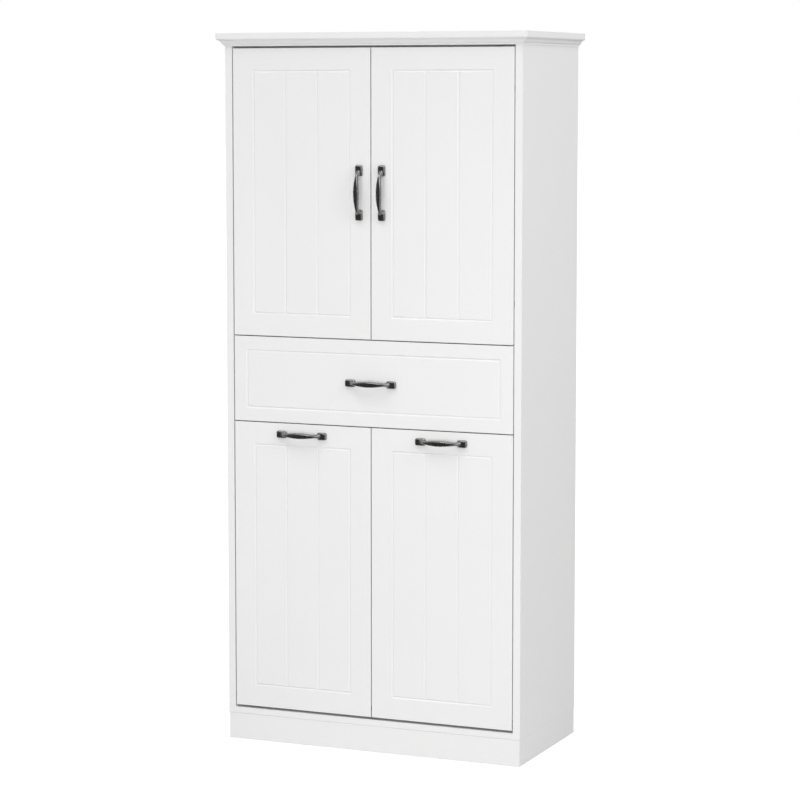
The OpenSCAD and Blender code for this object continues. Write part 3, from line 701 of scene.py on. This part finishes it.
    verts = [tuple(p) for p in grid.reshape(-1, 3)]
    faces, uvs = [], []
    path = np.zeros((len(rows), cols))
    path[1:] = np.cumsum(np.linalg.norm(np.diff(grid, axis=0), axis=2), axis=0)
    for i in range(len(rows) - 1):
        for j in range(cols):
            k = (j + 1) % cols
            q = (i * cols + j, i * cols + k, (i + 1) * cols + k, (i + 1) * cols + j)
            faces.append(q)
            if rows[i + 1][2] == "base":
                uvs.append([(verts[a][0], verts[a][1]) for a in q])
            else:
                su, sv = total * j / cols, total * (j + 1) / cols
                a, b, c, d = path[i, j], path[i, k], path[i + 1, k], path[i + 1, j]
                m = path[:, 0]
                uvs.append([(su, m[i]), (sv, m[i]), (sv, m[i + 1]), (su, m[i + 1])])
    # close the slit in the middle of the base
    last = (len(rows) - 1) * cols
    order = list(range(cols))
    n2 = cols // 2
    for j in range(n2 - 1):
        q = (last + j, last + j + 1, last + cols - 2 - j, last + cols - 1 - j)
        faces.append(q)
        uvs.append([(verts[a][0], verts[a][1]) for a in q])
    me = bpy.data.meshes.new(node + "_cloth")
    me.from_pydata(verts, [], faces)
    layer = me.uv_layers.new(name="UVMap")
    n = 0
    for q in uvs:
        for c in q:
            layer.data[n].uv = c
            n += 1
    me.materials.append(M_CANVAS)
    me.polygons.foreach_set("use_smooth", [True] * len(me.polygons))
    o = bpy.data.objects.new(node + "_cloth", me)
    bpy.context.scene.collection.objects.link(o)
    bm = bmesh.new()
    bm.from_mesh(me)
    bmesh.ops.recalc_face_normals(bm, faces=bm.faces)
    area = sum(f.calc_area() for f in bm.faces)
    bm.to_mesh(me)
    bm.free()
    sol = o.modifiers.new("cloth", "SOLIDIFY")
    sol.thickness = t
    sol.offset = 0.0
    sol.use_even_offset = False
    apply_modifiers(o)
    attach(o, body)
    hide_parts(node)

    # two rows of thread round the hem and one up each back seam, a few stitches to the centimetre
    thread = new_thread(node + "_stitches", grid, rows, cols, total, SEAMS(X0, X1, Y0, Y1, r0, total), t)
    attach(thread, body)
    # press studs that hold the hem to the box, with their washers
    studs = bag_studs(node + "_studs", grid, rows, cols, X0, X1, Y0, Y1, r0, total)
    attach(studs, body)
    wide = 2 * (x1 - x0) + 2 * (y1 - y0)
    print("BAG", node, "ring", round(total, 4), "area", round(area, 4), "depth", round(float(path[-1, 0]), 4), "wide", round(wide, 4))
    return o


def stud_places(X0, X1, Y0, Y1, r, total):
    """Distances round the ring of the press studs: two on each wall."""
    mid = [0.0, ((X1 - X0) + (Y1 - Y0)) / 2 - 2 * r + math.pi * r / 2, total / 2]
    mid.append(total - mid[1])
    return sorted((m + d) % total for m in mid for d in (-0.072, 0.072))


def dip_at(s, places, total):
    """0 at a stud, up to 1 half-way between two."""
    for k in range(len(places)):
        a, b = places[k], places[(k + 1) % len(places)]
        if b <= a:
            b += total
        q = s if s >= a else s + total
        if a <= q <= b:
            f = (q - a) / (b - a)
            return math.sin(math.pi * f) ** 2 * (b - a) / 0.145
    return 0.0


def SEAMS(X0, X1, Y0, Y1, r, total):
    """Distances round the ring of the two back corners."""
    h = (X1 - X0) / 2 - r + math.pi * r / 4
    return [h, total - h]


def capsule(p, d, up, length, rad, segs=6):
    """A short bowed thread between two holes."""
    d = Vector(d).normalized()
    up = (Vector(up) - d * Vector(up).dot(d)).normalized()
    side = d.cross(up)
    verts, faces = [], []
    prof = [(-0.5, 0.25, -0.7), (-0.42, 0.85, 0.1), (-0.2, 1.0, 0.55), (0.2, 1.0, 0.55), (0.42, 0.85, 0.1), (0.5, 0.25, -0.7)]
    for f, q, lift in prof:
        c = Vector(p) + d * (f * length) + up * (rad * lift)
        for k in range(segs):
            a = 2 * math.pi * k / segs
            verts.append(c + side * (rad * q * math.cos(a)) + up * (rad * q * math.sin(a)))
    n = len(prof)
    for i in range(n - 1):
        for k in range(segs):
            faces.append((i * segs + k, (i + 1) * segs + k, (i + 1) * segs + (k + 1) % segs, i * segs + (k + 1) % segs))
    faces.append(tuple(range(segs)))
    faces.append(tuple((n - 1) * segs + k for k in reversed(range(segs))))
    return verts, faces


def new_thread(name, grid, rows, cols, total, seams, t):
    verts, faces = [], []

    def add(v, f):
        b0 = len(verts)
        verts.extend(v)
        faces.extend(tuple(i + b0 for i in q) for q in f)

    def at(i, s):
        """Point, direction and inward normal on row i at distance s round the ring."""
        f = (s / total * cols) % cols
        j = int(f)
        a, b = Vector(grid[i, j]), Vector(grid[i, (j + 1) % cols])
        d = b - a
        nrm = Vector((d.y, -d.x, 0.0)).normalized()
        return a.lerp(b, f - j), d, nrm
    step = 0.0042
    for i in (1, 4):                                   # near the hem's lower edge and below the rim, on the inner face
        s = 0.0
        while s < total - step / 2:
            p, d, nrm = at(i, s)
            add(*capsule(p + nrm * (t / 2 + 0.0001), d, nrm, 0.0031, 0.00034))
            s += step
    first = next(k for k, q in enumerate(rows) if q[2] == "wall")
    last = max(k for k, q in enumerate(rows) if q[2] == "wall")
    for c0 in seams:
        for off in (-0.0035, 0.0035):
            run = 0.0
            for i in range(first, last):
                p, d, nrm = at(i, c0 + off)
                q, _, _ = at(i + 1, c0 + off)
                seg = (q - p).length
                while run < seg:
                    add(*capsule(p.lerp(q, run / seg) + nrm * (t / 2 + 0.0001), q - p, nrm, 0.0031, 0.00034))
                    run += step
                run -= seg
    o = new_mesh(name, verts, faces, M_THREAD)
    return o


def bag_studs(name, grid, rows, cols, X0, X1, Y0, Y1, r, total):
    """Eight domed press studs on the hem's inner face."""
    verts, faces = [], []
    i = 3
    for place in stud_places(X0, X1, Y0, Y1, r, total):
        j = int(round(cols * place / total)) % cols
        a, b = Vector(grid[i, j - 1]), Vector(grid[i, (j + 1) % cols])
        d = (b - a).normalized()
        nrm = Vector((d.y, -d.x, 0.0)).normalized()
        c = Vector(grid[i, j]) + nrm * (BAG_CLOTH / 2)
        z = Vector((0, 0, 1))
        prof = [(0.0064, 0.0), (0.0066, 0.0004), (0.0063, 0.0008), (0.0052, 0.0010), (0.0048, 0.0014), (0.0044, 0.0021), (0.0032, 0.0027),
                (0.0018, 0.0029), (0.0012, 0.0026), (0.0006, 0.0026)]
        b0 = len(verts)
        m = 28
        for rad, h in prof:
            for q in range(m):
                an = 2 * math.pi * q / m
                verts.append(c + d * (rad * math.cos(an)) + z * (rad * math.sin(an)) + nrm * h)
        for p in range(len(prof) - 1):
            for q in range(m):
                faces.append((b0 + p * m + q, b0 + p * m + (q + 1) % m, b0 + (p + 1) * m + (q + 1) % m, b0 + (p + 1) * m + q))
        faces.append(tuple(b0 + (len(prof) - 1) * m + q for q in range(m)))
        faces.append(tuple(b0 + q for q in reversed(range(m))))
    o = new_mesh(name, verts, faces, M_NICKEL)
    bm = bmesh.new()
    bm.from_mesh(o.data)
    bmesh.ops.recalc_face_normals(bm, faces=bm.faces)
    bm.to_mesh(o.data)
    bm.free()
    return o


laundry_bag("bin_left_bag", "left_bin", 3)
laundry_bag("bin_right_bag", "right_bin", 8)


# ---------------------------------------------------------------- floor
def stage_floor(name, z, mat):
    n, r = 96, 60.0
    verts = [(0, 0, z)]
    faces = []
    rings = [0.6, 1.2, 2.4, 5, 12, 28, r]
    for q in rings:
        verts += [(q * math.cos(2 * math.pi * i / n), q * math.sin(2 * math.pi * i / n), z) for i in range(n)]
    for i in range(n):
        faces.append((0, 1 + i, 1 + (i + 1) % n))
        for k in range(len(rings) - 1):
            a, b = 1 + k * n, 1 + (k + 1) * n
            faces.append((a + i, b + i, b + (i + 1) % n, a + (i + 1) % n))
    o = new_mesh(name, verts, faces, mat)
    return o


# the white paper that is seen, and under it the darker ground that throws light back at the object
paper = stage_floor("floor", 0.0, M_PAPER)
paper.visible_diffuse = paper.visible_glossy = paper.visible_transmission = paper.visible_shadow = False
ground = stage_floor("floor_bounce", -0.0005, M_GROUND)
ground.visible_camera = ground.visible_glossy = False
# under the object a darker sheet, seen only by the camera, is painted shade: it stands for the object's shadow on the
# paper and shows through the slot in front of the bottom board; its faint glow is painted light bounced under the
# object
shade = new_mesh("floor_painted_shade", [(x, y, 0.0004) for x, y in ((-0.309, -0.139), (0.309, -0.139), (0.309, 0.16), (-0.309, 0.16))],
                 [(0, 1, 2, 3)], floor_mat("paper_painted_shadow", 0.49, 0.51, 0.08))
shade.visible_diffuse = shade.visible_glossy = shade.visible_transmission = shade.visible_shadow = False

# ---------------------------------------------------------------- light
# the room: even light, and more from the right
ROOM_ALL, ROOM_RIGHT = 0.449, 0.760

sc = bpy.context.scene
sc.view_settings.view_transform = "Standard"
sc.view_settings.look = "None"
world = bpy.data.worlds.new("studio")
sc.world = world
world.use_nodes = True
world.cycles.sampling_method = "NONE"             # the room is so even that rays find it by themselves
wt = world.node_tree
wt.nodes.clear()
w_out = wt.nodes.new("ShaderNodeOutputWorld")
w_mix = wt.nodes.new("ShaderNodeMixShader")
w_path = wt.nodes.new("ShaderNodeLightPath")
w_room = wt.nodes.new("ShaderNodeBackground")     # what lights the object
w_seen = wt.nodes.new("ShaderNodeBackground")     # the white seamless wall behind it
w_gloss = wt.nodes.new("ShaderNodeBackground")    # what shiny parts mirror: a dim room with bright screens
w_mix2 = wt.nodes.new("ShaderNodeMixShader")
w_room.inputs[0].default_value = (1.0, 1.0, 1.0, 1.0)
w_seen.inputs[0].default_value = (1.0, 1.0, 1.0, 1.0)
w_seen.inputs[1].default_value = 1.0


def w_lobe(axis, gain, power=2.0):
    """A wide soft patch of the room's light around one direction."""
    dot = wt.nodes.new("ShaderNodeVectorMath")
    dot.operation = "DOT_PRODUCT"
    wt.links.new(w_dir.outputs["Generated"], dot.inputs[0])
    dot.inputs[1].default_value = Vector(axis).normalized()
    chain = dot.outputs["Value"]
    for op, k in (("MAXIMUM", 0.0), ("POWER", power), ("MULTIPLY", gain)):
        n = wt.nodes.new("ShaderNodeMath")
        n.operation = op
        wt.links.new(chain, n.inputs[0])
        n.inputs[1].default_value = k
        chain = n.outputs[0]
    return chain


w_dir = wt.nodes.new("ShaderNodeTexCoord")
n = wt.nodes.new("ShaderNodeMath")
n.operation = "ADD"
wt.links.new(w_lobe((1, -0.2, 0.3), ROOM_RIGHT), n.inputs[0])
n.inputs[1].default_value = ROOM_ALL
w_sum = n.outputs[0]
wt.links.new(w_sum, w_room.inputs[1])
g_sum = None
for lobe in (w_lobe((0.8, 0.5, 0.8), 3.0, 4.0), w_lobe((0.25, -0.35, 1), 0.35, 3.0), w_lobe((1, -0.1, 0.35), 0.8, 3.0),
             w_lobe((-1, 0.1, 0.2), 0.5, 3.0), w_lobe((0, 1, 0.1), 0.6, 2.0)):
    n = wt.nodes.new("ShaderNodeMath")
    n.operation = "ADD"
    wt.links.new(lobe, n.inputs[0])
    if g_sum is None:
        n.inputs[1].default_value = 0.05
    else:
        wt.links.new(g_sum, n.inputs[1])
    g_sum = n.outputs[0]
wt.links.new(g_sum, w_gloss.inputs[1])
w_gloss.inputs[0].default_value = (1.0, 1.0, 1.0, 1.0)
wt.links.new(w_path.outputs["Is Camera Ray"], w_mix.inputs[0])
wt.links.new(w_path.outputs["Is Glossy Ray"], w_mix2.inputs[0])
wt.links.new(w_room.outputs[0], w_mix2.inputs[1])
wt.links.new(w_gloss.outputs[0], w_mix2.inputs[2])
wt.links.new(w_mix2.outputs[0], w_mix.inputs[1])
wt.links.new(w_seen.outputs[0], w_mix.inputs[2])
wt.links.new(w_mix.outputs[0], w_out.inputs[0])


def sun(name, direction, strength, angle):
    """A distant soft light that shines along the direction."""
    d = bpy.data.lights.new(name, "SUN")
    d.energy = strength
    d.angle = math.radians(angle)
    o = bpy.data.objects.new(name, d)
    o.rotation_mode = "QUATERNION"
    o.rotation_quaternion = Vector(direction).to_track_quat("-Z", "Y")
    sc.collection.objects.link(o)
    return o


def softbox(name, at, to, size, watts):
    """A rectangular soft light at a point, turned to another."""
    d = bpy.data.lights.new(name, "AREA")
    d.shape = "RECTANGLE"
    d.size, d.size_y = size
    d.energy = watts
    o = bpy.data.objects.new(name, d)
    o.location = at
    o.rotation_mode = "QUATERNION"
    o.rotation_quaternion = (Vector(to) - Vector(at)).to_track_quat("-Z", "Y")
    o.visible_camera = False
    sc.collection.objects.link(o)
    return o


sun("overhead", (0.20, 0.49, -0.85), 0.80, 28)
softbox("right_box", (2.4, -1.1, 2.1), (0.1, -0.15, 0.9), (0.9, 0.9), 10.0)
low = softbox("low_box", (0.5, -3.2, 0.6), (0.0, -0.15, 1.0), (2.4, 0.8), 38.8)
low.visible_glossy = False


# ---------------------------------------------------------------- camera
cam_d = bpy.data.cameras.new("camera")
cam = bpy.data.objects.new("camera", cam_d)
sc.collection.objects.link(cam)
cam_d.sensor_width = 36.0
cam_d.lens = 122.737
cam_d.shift_x = 0.0
cam_d.shift_y = -0.04
cam_d.clip_start, cam_d.clip_end = 0.05, 200.0
cam.location = (2.17686, F - 4.94721, 1.33163)
yaw, pitch = 0.4038, 0.1016
fwd = Vector((-math.sin(yaw) * math.cos(pitch), math.cos(yaw) * math.cos(pitch), -math.sin(pitch)))
right = Vector((math.cos(yaw), math.sin(yaw), 0.0))
up = right.cross(fwd)
cam.rotation_mode = "QUATERNION"
cam.rotation_quaternion = Matrix((right, up, -fwd)).transposed().to_quaternion()
sc.camera = cam

# ---------------------------------------------------------------- last update of the scene
bpy.context.view_layer.update()
